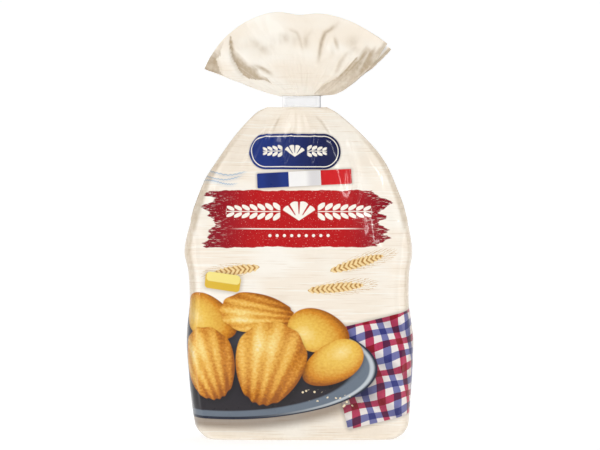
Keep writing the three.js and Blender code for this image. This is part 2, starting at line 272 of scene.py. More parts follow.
def lay_double_and_shade(outline, dense_and_shade, fold, soft=1.6, fading=7.0):
    """Film folded over on itself inside an outline, where shade is painted into its colour, partly for
    the film lying double and partly for the shade in the fold. The shade is dense along the fold, which
    is the outline's first few edges, and fades away from it over a distance."""
    inside = np.zeros(x.shape, bool)
    at_fold, at_rest = np.full(x.shape, 1e9), np.full(x.shape, 1e9)
    for edge, ((ax, az), (bx, bz)) in enumerate(zip(outline, outline[1:] + outline[:1])):
        share = ((x - ax) * (bx - ax) + (z - az) * (bz - az)) / math.dist((ax, az), (bx, bz)) ** 2
        t = np.clip(share, 0, 1)
        nearest = at_fold if edge < fold else at_rest
        np.minimum(nearest, np.hypot(x - ax - t * (bx - ax), z - az - t * (bz - az)), out=nearest)
        if az != bz:
            inside ^= ((az > z) != (bz > z)) & (x < (bx - ax) * (z - az) / (bz - az) + ax)
    field = np.where(inside, np.maximum(ramp(0, 2 * soft, at_rest), ramp(2 * soft, 0, at_fold)), 0)
    streaks = 0.9 + 0.16 * np.sin(q * 95 + 2.4 * np.sin(q * 37) + 0.05 * z)
    field *= (0.5 + 0.5 * np.exp(-((at_fold / fading) ** 2))) * streaks * facing["front"]
    paint_dense_and_shade(dense_and_shade * field)


def paint_lit_ridge(path, share, width):
    """Painted light: lightens the painted shade of a field along a ridge, where the ridge catches the light.
    """
    away, along = beside(path)
    doubled_and_painted_light[:] *= 1 - share * np.exp(-((away / width) ** 2)) * fade(along) * facing["front"]


# Painted shade in the fan's fields where the film lies double and in shade, from its left tip to its right
# one: the tip, the large fold and the long field.
lay_double_and_shade([
    (-55, 261), (-57, 264.5), (-58.3, 268), (-59.3, 271), (-59.8, 273.6), (-56.6, 275.6), (-56.2, 279),
    (-55, 282), (-53.5, 285.5), (-57.6, 286), (-60.5, 281.6), (-76, 276), (-72, 260),
], 1.0 - 0.65 * ramp(273, 283, z), 8, 1.6, 24)
lay_double_and_shade([
    (-49.4, 290), (-50.2, 284), (-49.6, 280), (-48.9, 276), (-47.8, 272.5), (-45.6, 269.2), (-43.8, 265.6),
    (-42.4, 263.2), (-39.8, 260.8), (-36.6, 258.6), (-30, 258.3), (-24.6, 257.9), (-19.6, 255.2),
    (-22.4, 259.6), (-25.4, 262), (-27.4, 264.4), (-26.6, 266.8), (-30, 269.4), (-35.5, 271), (-37.2, 273),
    (-39.8, 275.8), (-42.4, 278.4), (-46, 281.6), (-47.8, 286),
], 1.15, 12, 2.5, 30)
lay_double_and_shade([
    (10.5, 248), (14, 250.6), (17, 253), (21, 255.4), (26, 258), (29.8, 260.4), (32.3, 263), (34.8, 265.8),
    (36.8, 268.4), (38.6, 271), (41, 273.4), (43, 277), (45, 281), (49, 285.6), (52, 282), (56, 286),
    (57, 279), (57, 276), (59, 272), (48, 262), (40, 255), (30, 247), (18, 242),
], (0.58 + 0.55 * ramp(250, 270, z)) * ramp(287, 276, z), 10, 1.6, 40)
# Painted light on three ridges of the long field, where they catch the light.
paint_lit_ridge([(38, 258), (44.2, 267), (48.2, 275.5), (50.8, 285)], 0.5, 1.1)
paint_lit_ridge([(52, 272), (55, 279), (58, 287)], 0.6, 1.3)
paint_lit_ridge([(24, 250), (33, 256), (41, 265)], 0.3, 1.0)

# Painted shade at the front's right corner, and at the edge that is rolled over where the body's left side
# meets the neck.
lay_double_and_shade([
    (63.4, 285), (59.8, 279.9), (56.2, 275), (52.4, 276.4), (55.4, 281), (60, 285),
], 1.1, 2, 1.4, 6)
lay_double_and_shade([
    (-36, 229.5), (-30, 235.5), (-22.6, 240), (-19.4, 238.6), (-26.4, 235.6), (-32.6, 230.6),
], 0.8, 2, 1.0)

# The fan's own folds: each has a path, a drop, a width and how much shade is painted along it.
for path, *form in (
    ([(-38.2, 256.9), (-42, 262.9), (-46.9, 270.9), (-49.1, 277.2), (-49.8, 290)], 2.2, 10, 0.2),
    ([(-60.3, 282), (-59, 275), (-57.2, 269), (-54, 260)], 1.8, 8, 0.2),
    ([(10.3, 247.3), (18.6, 254.9), (29.2, 260.7), (37.2, 271.4), (43, 280.5)], 2.6, 12, 0.1),
    ([(56.2, 274), (60, 283)], 1.0, 5, 0.2),
):
    relief += crease(path, *form)
# Grooves and ridges, each with a path, a drop, a width, and for some the shade painted along it and how it
# ends.
for path, *form in (
    ([(-53, 285), (-52, 276), (-49, 268), (-42, 259)], -1.1, 2.4),
    ([(-49, 286), (-41, 275.5), (-33.5, 270.6), (-25, 267)], -1.8, 3.6),
    ([(-30, 264.8), (-24, 261.4), (-17, 257)], -1.0, 2.2),
    ([(-33, 268.8), (-27.5, 266.8), (-23, 264.3), (-18.5, 261.4)], 0.9, 1.3, 0.9),
    ([(-13.6, 292), (-12.8, 282)], 0.6, 1.8, 0.25),
    ([(-17.6, 289), (-17, 281)], 0.5, 1.6, 0.15),
    ([(-8, 295), (-1.4, 292), (0.9, 286.6), (3.2, 278)], 0.8, 1.3, 0.5),
    ([(9.4, 294), (5.6, 289), (6, 279)], 0.6, 1.6, 0.3),
    ([(28.4, 299.5), (23, 295), (18.7, 292), (16.2, 285.7), (15, 278.5), (13.8, 270)], 1.4, 1.5, 0.85),
    ([(21.4, 291), (19.4, 285), (18, 275)], -1.2, 2.0),
    ([(25.2, 289), (26.6, 284.6), (28, 279.6)], 1.0, 1.2, 0.75),
    ([(24.4, 284), (22.6, 272)], 0.5, 1.5, 0.15),
    ([(36.4, 279.5), (32.5, 275), (29.5, 271), (27.5, 266), (25.4, 261.5)], 0.8, 1.4, 0.5),
    ([(38.4, 284), (36, 275)], 0.6, 1.8, 0.2),
    ([(44.6, 269), (48.4, 275.5), (50.6, 283)], -1.5, 1.5),
    ([(30, 252), (42, 261), (52, 271.5), (62, 282)], -1.6, 2.2),
    ([(40.5, 276), (36, 268), (31, 260)], -0.7, 1.6),
    ([(44, 296), (34, 280)], 0.6, 4),
    # The pull of the neck on the front, and the dents that it leaves beside it. Some end more gradually.
    ([(-13.2, 233), (-15.2, 229.6), (-19.6, 220)], 0.7, 1.1, 0.55),
    ([(10.8, 234), (16.3, 228.4), (22.8, 218)], 0.7, 1.2, 0.5),
    ([(-9.8, 233), (-13.5, 222)], -0.5, 1.8),
    ([(5.6, 232), (8.2, 219)], -0.7, 1.5),
    ([(34.6, 219), (38.9, 201.7), (42.2, 189.9), (42, 176), (38, 160)], -2.6, 2.1, 0, 0.7),
    ([(28, 231), (45, 209), (58, 186)], -0.8, 3, 0, 0.9),
    ([(-25.2, 224), (-40.6, 195)], -1.7, 1.5, 0, 0.7),
    ([(-20, 224), (-34, 195)], -1.1, 1.5, 0, 0.7),
    ([(-4, 224), (-12, 195)], -1.6, 1.5, 0, 0.7),
    ([(12, 224), (8, 195)], -1.1, 1.5, 0, 0.7),
    ([(-30, 232), (-44, 214), (-55, 195), (-62, 174)], -1.6, 3.0, 0, 0.7),
    ([(-76, 190), (-71, 176), (-66, 158)], 0.8, 4),
    ([(70, 190), (72, 172), (75, 150)], 0.7, 5),
):
    relief += dent(path, *form)

# The back hangs in longer folds from the neck, and the fan's back is creased from the neck to its rim, with
# shade painted along its creases.
for foot, top, drop in (
    (-66, -12, 0.9), (-47, -9.5, 1.5), (-33, -7, 1.0), (-20, -4.5, 1.7), (-7, -2, 1.1),
    (11, 3, 1.5), (23, 5, 1.0), (36, 7.5, 1.6), (50, 10, 1.1), (67, 12.5, 0.9),
):
    path = [(top + 1.8, 237), (foot * 0.5, 222), (foot * 0.85, 200), (foot, 178 - abs(foot) * 0.2)]
    relief += dent(path, drop, 2.6, 0, 1.0, "back")
    relief += dent([(px + 4.5, pz) for px, pz in path], -0.4 * drop, 2.4, 0, 1.0, "back")
for foot, rim, drop in (
    (-9, -72, 1.8), (-7, -52, 2.4), (-5, -37, 1.5), (-3, -21, 2.0), (-1, -5, 1.3),
    (3, 12, 2.0), (5, 29, 1.6), (7, 44, 2.3), (10, 61, 1.7),
):
    path = [(foot + 1.5, 250), (rim * 0.6, 268), (rim, 300 - abs(rim) * 0.25)]
    relief += crease(path, drop, 9, 0.45 * drop / 2, "back")

# Two columns of cakes, five high, press on the front and the back, and the film is slack between them.
CAKE = dict(wide=38, high=21, press=0.35)
in_body = np.arange(rows)[:, None] < first_neck
full = ramp(225, 150, z) * ramp(2, 14, z) * in_body
cakes = np.cos(np.pi * (x + CAKE["wide"]) / CAKE["wide"]) * np.cos(np.pi * (z - 22) / CAKE["high"])
relief += CAKE["press"] * cakes * full * (in_gusset == 0)

# The heat-set edges between the panels and the gussets stand out as a thin line, and are rolled over where
# the gussets fold in, with shade painted along the rolled edge.
to_edge = (QUARTER - np.abs(np.arange(COLUMNS) % (2 * QUARTER) - QUARTER)) - PANEL
edge_line = np.exp(-(((to_edge + 0.5) / 1.6) ** 2)) * ramp(6, 24, z)
relief += edge_line * (0.3 + 0.7 * ramp(180, 140, z))
rolled = np.exp(-(((to_edge + 1) / 1.3) ** 2)) * ramp(150, 176, z) * ramp(242, 236, z)
paint_dense_and_shade(0.6 * rolled)

# The back's right corner stands out beyond the front's, with the gusset's film between them. Shade is
# painted on the strip at the back's corner and along the fan's lower right edge, which lies double, and
# the film between the corners gets a painted highlight in white.
at_tip = ramp(50, 57, x) * ramp(266, 272, z) * (layer > 0)
paint_dense_and_shade(0.9 * at_tip * ramp(0.11, 0.07, in_gusset))
highlight_between_corners = ramp(53.5, 55.5, x) * at_tip * ramp(0.07, 0.11, in_gusset) * ramp(0.5, 0.4, in_gusset)
along_edge = ramp(0.93, 1, q) * ramp(0.3, 0.2, in_gusset) * ramp(12, 26, x) * ramp(246, 252, z)
paint_dense_and_shade(0.75 * along_edge * (highlight_between_corners < 0.02))

# Painted shade on the sides where they turn away, on the gussets, the foot and the film just below the neck.
from_left, from_right = x - x.min(axis=1, keepdims=True), x.max(axis=1, keepdims=True) - x
side_shade = np.maximum(0.72 * ramp(6.5, 3.5, from_left), 0.62 * ramp(5, 2.6, from_right))
paint_dense_and_shade(side_shade * ramp(10, 40, z) * ramp(236, 198, z))
paint_dense_and_shade((0.12 * ramp(-1, 3, to_edge) + 0.4 * ramp(2, 13, to_edge)) * ramp(250, 240, z))
paint_dense_and_shade(0.16 * ramp(34, 8, z))
paint_dense_and_shade(0.1 * ramp(176, 210, z) * ramp(246, 239, z))

# Soft waves everywhere, larger above the contents, and finer crinkles over them, most in a belt of the fan.
# Pleats, long up the film and fine across it, run out from the neck like the ribs of a fan.
WAVE, CRINKLE = 1.1, 0.45  # how high they stand
waves, crinkles, pleats = np.empty((3, rows, COLUMNS))
for i in range(rows):
    for j in range(COLUMNS):
        px, py, pz = film[i, j]
        waves[i, j] = noise.noise(Vector((px / 26, py / 18, pz / 34)))
        crinkles[i, j] = noise.noise(Vector((px / 9 + 7, py / 9, pz / 13 + 3)))
        pleats[i, j] = noise.noise(Vector((q[j] * 11, layer[j] * 5, pz / 30)))
stiff = (1 - 0.55 * ramp(4, 30, z) * ramp(236, 160, z)) * (1 - 0.5 * ramp(290, 302, z))
held = 1 - 0.7 * np.exp(-((to_edge / 8) ** 2)) * ramp(150, 180, z) * in_body
belt = 1 + 0.9 * np.exp(-(((z - 277) / 11) ** 2))
gathered = np.where(in_body, ramp(200, 236, z) * 0.38, 1 - 0.45 * ramp(262, 300, z)) * (in_gusset == 0)
relief += WAVE * waves * stiff * held
relief += CRINKLE * (np.abs(crinkles) ** 0.8 - 0.2) * stiff * held * belt
relief += (0.35 - np.sqrt(np.abs(pleats))) * gathered * held

# Soft spots of painted shade on the fan's front, between its folds where its two layers touch.
for centre_x, centre_z, wide, high, dense_and_shade in (
    (-32, 283, 8, 5, 0.4), (-25, 280.5, 6, 4, 0.5), (-12, 287.6, 6, 3.6, 0.7), (-3, 287, 4, 5, 0.45),
    (5.4, 286, 2.6, 5, 0.45), (38.6, 285, 5, 5, 0.25), (40.4, 280, 3, 2.8, 0.4),
):
    touching_shade = np.exp(-(((x - centre_x) / wide) ** 2) - ((z - centre_z) / high) ** 2) * facing["front"]
    paint_dense_and_shade(dense_and_shade * touching_shade * (1 + 1.3 * pleats))
# The film between the two corners gets a painted highlight in white.
np.copyto(doubled_and_painted_light, -highlight_between_corners, where=highlight_between_corners > 0.02)

# The clip holds the film flat. Above and below it, the film bears on the clip's edges and closes over them.
relief[first_neck:first_tuft] = 0
relief *= (1 - 0.85 * np.exp(-(((z - 242.6) / 6) ** 2))) * ramp(0, 5, z)
smooth_film = film
film = film + outward(film) * relief[..., None]
film[first_neck - 1, :, 2] += 0.6
film[first_neck, :, 2] += 0.35
film[first_tuft, :, 2] -= 0.25


# ---- Printing the film ----
# The web is printed on its inner side before it is folded, so the inks lie under the gloss of the film.
# Inks are laid over each other in layers, in millimetres from the middle of the panel and from the ground.
class Number:
    """What a node works out. Sums with it are written as sums, and each becomes a node."""

    def __init__(self, nodes, socket):
        self.nodes, self.socket = nodes, socket

    def __add__(self, other):
        return self.nodes.calc("ADD", self, other)

    def __sub__(self, other):
        return self.nodes.calc("SUBTRACT", self, other)

    def __rsub__(self, other):
        return self.nodes.calc("SUBTRACT", other, self)

    def __mul__(self, other):
        return self.nodes.calc("MULTIPLY", self, other)

    def __truediv__(self, other):
        return self.nodes.calc("DIVIDE", self, other)

    def __abs__(self):
        return self.nodes.calc("ABSOLUTE", self)


class Nodes:
    """A node tree, to which nodes are added with their sockets fed in order."""

    prefix = ""

    def __init__(self, tree):
        self.tree = tree

    def feed(self, socket, value):
        """Links what a node works out to a socket, or sets a plain value there."""
        value = getattr(value, "socket", value)
        if isinstance(value, bpy.types.NodeSocket):
            self.tree.links.new(value, socket)
        elif value is not None:
            socket.default_value = value

    def add(self, kind, *values, **settings):
        node = self.tree.nodes.new(self.prefix + kind)
        for name, value in settings.items():
            setattr(node, name, value)
        for socket, value in zip(node.inputs, values):
            self.feed(socket, value)
        return node


class Surface(Nodes):
    """A material whose canvas is the colours laid over each other so far."""

    prefix = "ShaderNode"

    def __init__(self, name):
        self.material = bpy.data.materials.new(name)
        self.material.use_nodes = True
        super().__init__(self.material.node_tree)

    def result(self, kind, *values, output=0, **settings):
        return Number(self, self.add(kind, *values, **settings).outputs[output])

    def calc(self, operation, *values):
        return self.result("Math", *values, operation=operation)

    def far(self, vector):
        return self.result("VectorMath", vector, output="Value", operation="LENGTH")

    def split(self, vector):
        node = self.add("SeparateXYZ", vector)
        return Number(self, node.outputs[0]), Number(self, node.outputs[1])

    def join(self, x, y):
        return self.result("CombineXYZ", x, y)

    def soft(self, value, start, end):
        """0 where the value is start, 1 where it is end, and smooth between them."""
        return self.result("MapRange", value, start, end, interpolation_type="SMOOTHSTEP")

    def tones(self, value, *stops, steps=False):
        """The colour for a value, smooth from stop to stop or in steps."""
        node = self.add("ValToRGB", value)
        while len(node.color_ramp.elements) < len(stops):
            node.color_ramp.elements.new(1)
        for element, (place, colour) in zip(node.color_ramp.elements, stops):
            element.position, element.color = place, colour
        if steps:
            node.color_ramp.interpolation = "CONSTANT"
        return Number(self, node.outputs[0])

    def lay(self, colour, cover, blend="MIX"):
        node = self.add("Mix", data_type="RGBA", blend_type=blend)
        for number, value in ((0, cover), (6, self.canvas), (7, colour)):
            self.feed(node.inputs[number], value)
        self.canvas = Number(self, node.outputs[2])

    def dress(self, looks):
        """Feeds the shader's own sockets by name and returns the material."""
        for name, value in looks.items():
            self.feed(self.tree.nodes["Principled BSDF"].inputs[name], value)
        return self.material


def ink(*eight_bit):
    """A printing colour from its 8-bit red, green and blue."""
    shares = [c / 255 for c in eight_bit]
    return tuple(s / 12.92 if s < 0.0404 else ((s + 0.055) / 1.055) ** 2.4 for s in shares) + (1,)


CREAM, IVORY, FIBRE = ink(250, 239, 223), ink(255, 249, 238), ink(214, 190, 158)
RED, DEEP_RED, NAVY, BLUE = ink(190, 12, 18), ink(138, 10, 32), ink(10, 18, 70), ink(28, 52, 130)
OCHRE = ink(198, 150, 84)


class Web(Surface):
    """The printed film, laid out flat in millimetres."""

    def __init__(self, name):
        super().__init__(name)
        on_print = self.result("UVMap", uv_map="print")
        self.where = self.result("VectorMath", on_print, (1 / MM, 1 / MM, 1 / MM), operation="MULTIPLY")
        self.u, self.v = self.split(self.where)

    def local(self, x, y, turn=0, wide=1, high=1, place=None):
        """Coordinates centred on a place and turned by degrees, in which half a width and a height are 1."""
        values = (place or self.where, (x, y, 0), (0, 0, math.radians(turn)), (wide, high, 1))
        return self.result("Mapping", *values, vector_type="TEXTURE")

    def grain(self, wide, high, detail=3, shift=0):
        """Noise whose grains are this wide and high."""
        place = self.result("Mapping", self.where, (shift, shift, 0), (0, 0, 0), (1 / wide, 1 / high, 1))
        return self.result("TexNoise", place, None, 1, detail, noise_dimensions="2D")

    def ground(self):
        """Warm paper white with fine fibres across it."""
        self.canvas = CREAM
        self.lay(IVORY, self.soft(self.grain(60, 30, 2), 0.4, 0.7))
        self.lay(FIBRE, self.soft(self.grain(30, 0.9, 4, 5), 0.54, 0.84) * self.soft(self.v, 286, 250) * 0.5)
        self.lay(IVORY, self.soft(self.grain(46, 1.8, 3, 9), 0.55, 0.7) * self.soft(self.v, 270, 236))

    def keep_plain(self, width):
        """Ends what is printed at a width on both sides, with the ground's own colour beyond it."""
        self.lay(CREAM, self.soft(abs(self.u), width, width + 0.3))

    def box(self, x, y, half_wide, half_high, corner, turn=0):
        """How far a place is outside a round-cornered box, less than 0 inside it."""
        a, b = self.split(self.local(x, y, turn))
        a = self.calc("MAXIMUM", abs(a) - (half_wide - corner), 0)
        b = self.calc("MAXIMUM", abs(b) - (half_high - corner), 0)
        return self.far(self.join(a, b)) - corner

    def shell(self, x, y, size, colour):
        """A scallop with its hinge down."""
        place = self.local(x, y - 0.8 * size, 0, size, size)
        angle = self.calc("ARCTAN2", *self.split(place))
        ribs = abs(self.calc("SINE", angle * 5.5))
        out = self.far(place) - ribs * 0.12
        fan = self.soft(out, 1.62, 1.56) * self.soft(abs(angle), 1.02, 0.96)
        cut = self.soft(ribs, 0.42, 0.24) * self.soft(out, 0.5, 0.62)
        self.lay(colour, fan * (1 - cut))

    def sprigs(self, x, y, gap, length, step, leaf, colour):
        """Two stems with pairs of leaves, which start at a gap on both sides of a place."""
        a, b = self.split(self.local(x, y))
        a, b = abs(a) - gap, abs(b)
        along = self.soft(a, 0, 1) * self.soft(a, length, length - 1)
        leaves = self.join(self.calc("WRAP", a, 0, step), b / (a * (-0.45 / length) + 1.1))
        leaves = self.local(0.5 * step, leaf * 0.52, 38, leaf * 0.62, leaf * 0.27, leaves)
        shape = self.calc("MAXIMUM", self.soft(self.far(leaves), 1.0, 0.86), self.soft(b, 0.42, 0.22))
        self.lay(colour, shape * along)

    def cake(self, x, y, turn, half_wide, half_high, ribs=0):
        """A sponge cake with ribs or with its smooth hump up, lit from the upper left, and its shadow."""
        shade = self.far(self.local(x + 1.5, y - 2.2, turn, half_wide * 1.1, half_high * 1.1))
        self.lay(ink(60, 34, 22), self.soft(shade, 1.0, 0.75) * 0.5, "MULTIPLY")
        a, b = self.split(self.local(x, y, turn, half_wide, half_high))
        rim = self.far(self.join(a / (b * 0.14 + 1), b))
        gleam = self.soft(self.far(self.join(a + 0.27, b - 0.4)), 0.42, 0.05)
        lit = a * -0.15 + b * 0.18 + gleam * 0.16 + 0.51
        lit = lit - self.calc("POWER", rim, 3.4) * 0.34 + self.crumb * (0.42 if ribs else 0.24)
        crust, gold = ink(214, 138, 34), ink(240, 196, 86)
        if ribs:
            rib = self.calc("COSINE", self.calc("ARCTAN2", a, b + 2.1) * ribs)
            lit, rim = lit + rib * 0.11, rim - rib * 0.018
            crust, gold = ink(204, 128, 36), ink(238, 182, 80)
        brown, pale, palest = ink(156, 86, 18), ink(250, 218, 132), ink(255, 242, 206)
        stops = (0.06, brown), (0.28, crust), (0.52, gold), (0.74, pale), (1, palest)
        self.lay(self.tones(lit, *stops), self.soft(rim, 1.0, 0.965))

    def ear(self, x, y, turn, length):
        """An ear of wheat lying flat, its grains in two rows and its awns beyond them."""
        a, b = self.split(self.local(x, y, turn))
        b = abs(self.crumb * 1.6 + b)
        reach, along = 0.72 * length, math.radians(turn)
        beyond = (x + reach * math.cos(along), y + reach * math.sin(along))
        spread = self.far(self.local(*beyond, turn, length * 0.62, 6.4))
        awns = self.soft(abs(self.calc("SINE", a * -0.42 + b * 2.2)), 0.5, 0.15)
        self.lay(ink(206, 166, 100), awns * self.soft(spread, 1, 0.8) * 0.9)
        middle = a * (2 / length) - 1
        full = 1 - middle * middle
        grain = abs(self.calc("SINE", b * -0.8 + a * 0.92))
        edge = self.calc("SQRT", self.calc("MAXIMUM", full, 0)) * 3.3 - 0.5
        cover = self.soft(b - grain * 0.9 - edge, 0.15, -0.15) * self.soft(full, -0.02, 0.02)
        stops = (0.12, ink(168, 116, 58)), (0.5, ink(222, 178, 108)), (0.95, ink(250, 224, 168))
        self.lay(self.tones(self.crumb * 0.8 + grain, *stops), cover)

    def checks(self, weft, warp, cover):
        """Woven checks, red and blue on white. The weft and the warp count the repeats of their stripes."""
        white, blue, red = ink(246, 242, 240), ink(118, 122, 178), ink(190, 60, 96)
        stops = (0, white), (0.25, blue), (0.5, white), (0.75, red)
        for thread, blend in ((weft, "MIX"), (warp, "MULTIPLY")):
            self.lay(self.tones(self.calc("FRACT", thread), *stops, steps=True), cover, blend)

    def finish(self, gloss):
        """The clear film over the inks: glossy, faintly wavy, and a little scuffed."""
        # Painted shade where the attribute is above 0, unevenly, and a painted white highlight where it is
        # below.
        painted_light = self.result("Attribute", output="Fac", attribute_name="doubled_and_painted_light")
        mottled = self.result("MapRange", self.grain(2.4, 3.2, 4, 11), 0.3, 0.7, 0.78, 1.08)
        self.lay(ink(196, 183, 165), painted_light * mottled, "MULTIPLY")
        self.lay(ink(255, 255, 255), painted_light * -1)
        return self.dress({
            "Base Color": self.canvas,
            "Roughness": self.result("MapRange", self.grain(9, 14, 4, 2), 0.3, 0.75, gloss, gloss + 0.14),
            "Normal": self.result("Bump", 0.25, 0.0006, None, self.grain(5, 8, 2, 4)),
            "Specular IOR Level": 0.12,
            "Coat Weight": self.result("MapRange", self.v, 214, 242, 0.42, 0.08),
            "Coat Roughness": 0.07,
        })


# ---- The front's print ----
# A blue badge and three fields of colour over a brushed red band, with sprigs and shells for ornament.
# Under it a plate of cakes, wheat and a checked cloth, as flat fields with soft shading.
web = Web("film_front")
web.ground()
web.crumb = web.grain(2.2, 1.6, 5, 3) - 0.5

# Low hills far away, in pale blue lines.
for drop, shift in ((0, 0.5), (3.4, 1.1), (6.6, 0.2)):
    below = web.calc("SINE", web.u * 0.16 + shift) * 1.5 + (191 - drop) - web.v
    trees = abs(web.calc("SINE", web.u * (0.9 + 0.1 * drop)))
    line = web.soft(abs(trees * 0.5 + below), 0.6, 0.25)
    wash = web.soft(below, 0, 0.2) * web.soft(below, 3.2, 0) * 0.3
    hills = web.calc("MAXIMUM", line, wash) * web.soft(web.u, -36 - drop, -44 - drop)
    web.lay(ink(138, 174, 208), hills * 0.7)

# The red band, laid on with a dry brush that ran out at both ends.
streaks = web.grain(90, 7.5, 1.5, 1) + web.grain(30, 1.6, 2, 4) * 0.22
edge = web.grain(14, 30, 4, 8) * 3.6 + 18.2
over = abs(web.u + 2) - (streaks * 32 + 44.5)
dry = web.soft(web.grain(5, 0.8, 4, 6), 0.58, 0.66) * web.soft(over, -16, 0)
band = web.soft(abs(web.v - 158.4) - edge, 0.5, 0) * web.soft(over, 1.2, 0) * (1 - dry * 0.8)
web.lay(web.tones(web.soft(abs(web.u), 26, 68), (0, RED), (1, DEEP_RED)), band)
web.lay(ink(236, 190, 180), web.soft(web.grain(0.9, 0.9, 1, 7), 0.72, 0.78) * band * 0.6)

# On the band: a shell between two sprigs, a thin rule, and a row of dots.
web.shell(0, 163.6, 8.2, IVORY)
web.sprigs(0, 163.6, 13, 40, 5.6, 6.6, IVORY)
web.lay(IVORY, web.soft(abs(web.v - 151.2), 0.55, 0.25) * web.soft(abs(web.u), 52, 30))
dots = web.far(web.join(web.calc("WRAP", web.u, -2.6, 2.6), web.v - 146.4))
web.lay(IVORY, web.soft(dots, 1.25, 1.0) * web.soft(abs(web.u), 23.6, 23.2))

# Three fields of colour under the badge, with soft folds in them.
ribbon = web.box(4, 187.2, 34, 5.2, 0.8, 3)
across, _ = web.split(web.local(4, 187.2, 3, 34, 5.2))
web.lay(ink(150, 140, 135), web.soft(ribbon, 2.4, -0.4) * 0.5, "MULTIPLY")
ribbon = web.soft(ribbon, 0.3, 0)
web.lay(web.tones(across, (0, ink(252, 250, 248)), (0.34, ink(214, 20, 28)), steps=True), ribbon)
web.lay(BLUE, ribbon * web.soft(across, -0.33, -0.34))
web.lay(ink(120, 110, 130), ribbon * web.soft(web.calc("SINE", across * 7), 0, 1) * 0.28, "MULTIPLY")

# The badge, with a thin line inside its edge.
badge = web.box(-3, 206.5, 33, 12.6, 12.5)
web.lay(ink(120, 120, 140), web.soft(badge, 1.8, -0.5) * 0.45, "MULTIPLY")
web.lay(web.tones(web.soft(web.u, -36, 30), (0, BLUE), (1, NAVY)), web.soft(badge, 0.3, 0))
web.lay(IVORY, web.soft(abs(badge + 1.7), 0.45, 0.2))
web.shell(-3, 206.8, 5.0, IVORY)
web.sprigs(-3, 206.8, 8.4, 15, 3.8, 4.6, IVORY)

# Wheat and a pat of butter behind the plate.
web.ear(-28, 124, 188, 34)
web.ear(6, 107, 6, 40)
web.ear(22, 121, 16, 40)
butter = web.box(-55, 113, 13, 5.4, 2.4, -8)
web.lay(ink(150, 130, 110), web.soft(butter, 4, -1) * 0.5, "MULTIPLY")
web.lay(ink(226, 186, 60), web.soft(butter, 0.3, 0))
web.lay(ink(250, 232, 140), web.soft(web.box(-54.4, 116, 12.2, 3.2, 2.2, -8), 0.3, 0))

# A cloth of woven checks, which hangs in soft folds.
a, b = web.split(web.local(58, 50, 13))
drape = web.calc("SINE", (a + b) * 0.17)
cloth = web.box(66, 52, 40, 36, 2, 13)
web.lay(ink(120, 110, 104), web.soft(cloth, 3.5, -1) * 0.5, "MULTIPLY")
cloth = web.soft(cloth, 0.3, 0)
web.checks((drape + a) * 0.046 + 3, (drape * 0.8 + b) * 0.052 + 3, cloth)
web.lay(ink(150, 150, 170), cloth * web.soft(drape, 0.2, 1) * 0.35, "MULTIPLY")

# The plate, dark with a pale line round its rim, and its shadow on the table.
shadow = web.far(web.local(-60, 48, -2, 124, 42))
web.lay(ink(120, 104, 92), web.soft(shadow, 1.04, 0.86) * 0.75, "MULTIPLY")
dish = web.far(web.local(-62, 55, -2, 119, 40))
lit_side = web.soft(web.soft(web.u, -70, 60), 0.1, 1)
web.lay(ink(34, 40, 58), web.soft(dish, 1, 0.99))
web.lay(ink(196, 204, 210), web.soft(dish, 0.985, 0.965) * lit_side)
web.lay(ink(108, 120, 134), web.soft(dish, 0.955, 0.94))
web.lay(ink(42, 38, 44), web.soft(dish, 0.86, 0.83))
web.lay(ink(112, 114, 124), web.soft(dish, 0.78, 0.4) * web.soft(web.v, 60, 100))

# The cakes on it, and crumbs beside them.
web.cake(-66, 88, 62, 15, 24)
web.cake(-30, 91, 84, 14.5, 27, ribs=36)
web.cake(14, 78, 74, 15.5, 23)
web.cake(-66, 55, 20, 21, 27, ribs=34)
web.cake(24, 55, -62, 14.5, 24)
web.cake(-21, 55, -14, 25.5, 30.5, ribs=34)
crumbs = web.result("TexVoronoi", web.where, None, 0.22, feature="F1", voronoi_dimensions="2D")
strewn = web.soft(web.far(web.local(20, 30, -8, 26, 6)), 1, 0.8) * web.soft(web.grain(8, 8, 0, 13), 0.46, 0.5)
web.lay(ink(244, 226, 190), web.soft(crumbs, 0.2, 0.15) * strewn)

# The gussets stay plain, from just past the panel's edges.
web.keep_plain(92)
front_print = web.finish(0.25)


# ---- The back's print ----
# The same paper white, with a plain red field, a ruled panel and a strip of checks round the foot.
web = Web("film_back")
web.ground()
foot = web.soft(web.v, 50, 49.7) * web.soft(web.v, 13.7, 14) * web.soft(abs(web.u), 96, 92)
web.checks(web.u * 0.05 + 8, web.v * 0.05 + 0.2, foot)
brushed = web.box(-41, 158, 31, 16, 3) + (web.grain(26, 1.9, 4, 1) - 0.5) * 5
web.lay(RED, web.soft(brushed, 0.4, 0))
web.shell(-41, 159, 9, IVORY)
panel = web.box(42, 118, 32, 46, 2)
web.lay(ink(255, 255, 252), web.soft(panel, 0.3, 0))
rules = web.calc("MINIMUM", abs(web.calc("WRAP", web.v, -4.6, 4.6)), abs(web.u - 52))
ruled = web.soft(web.box(42, 118, 28, 41.4, 0.5), 0.2, 0)
web.lay(ink(196, 184, 166), web.soft(rules, 0.45, 0.2) * ruled)
web.lay(NAVY, web.soft(abs(panel + 1.2), 0.4, 0.2))
web.sprigs(-41, 112, 10, 20, 5.6, 6.6, OCHRE)
web.shell(-41, 111.6, 7.4, OCHRE)
web.keep_plain(92)
back_print = web.finish(0.25)

# ---- Film pieces ----
# The two halves of the web meet in the folds of the gussets. The film is drawn thicker than it is, with
# its bare inner side pale, because a wall of 35 microns can't be handled.
WALL = 0.22


def place_object(name, data):
    placed = bpy.data.objects.new(name, data)
    bpy.context.collection.objects.link(placed)
    return placed


def piece_of(name, points, faces, *materials):
    mesh = bpy.data.meshes.new(name)
    mesh.from_pydata(points.reshape(-1, 3).tolist(), [], faces)
    mesh.shade_smooth()
    for material in materials:
        mesh.materials.append(material)
    return place_object(name, mesh)


def lay_map(piece, name, corners):
    piece.data.uv_layers.new(name=name).data.foreach_set("uv", corners.ravel())


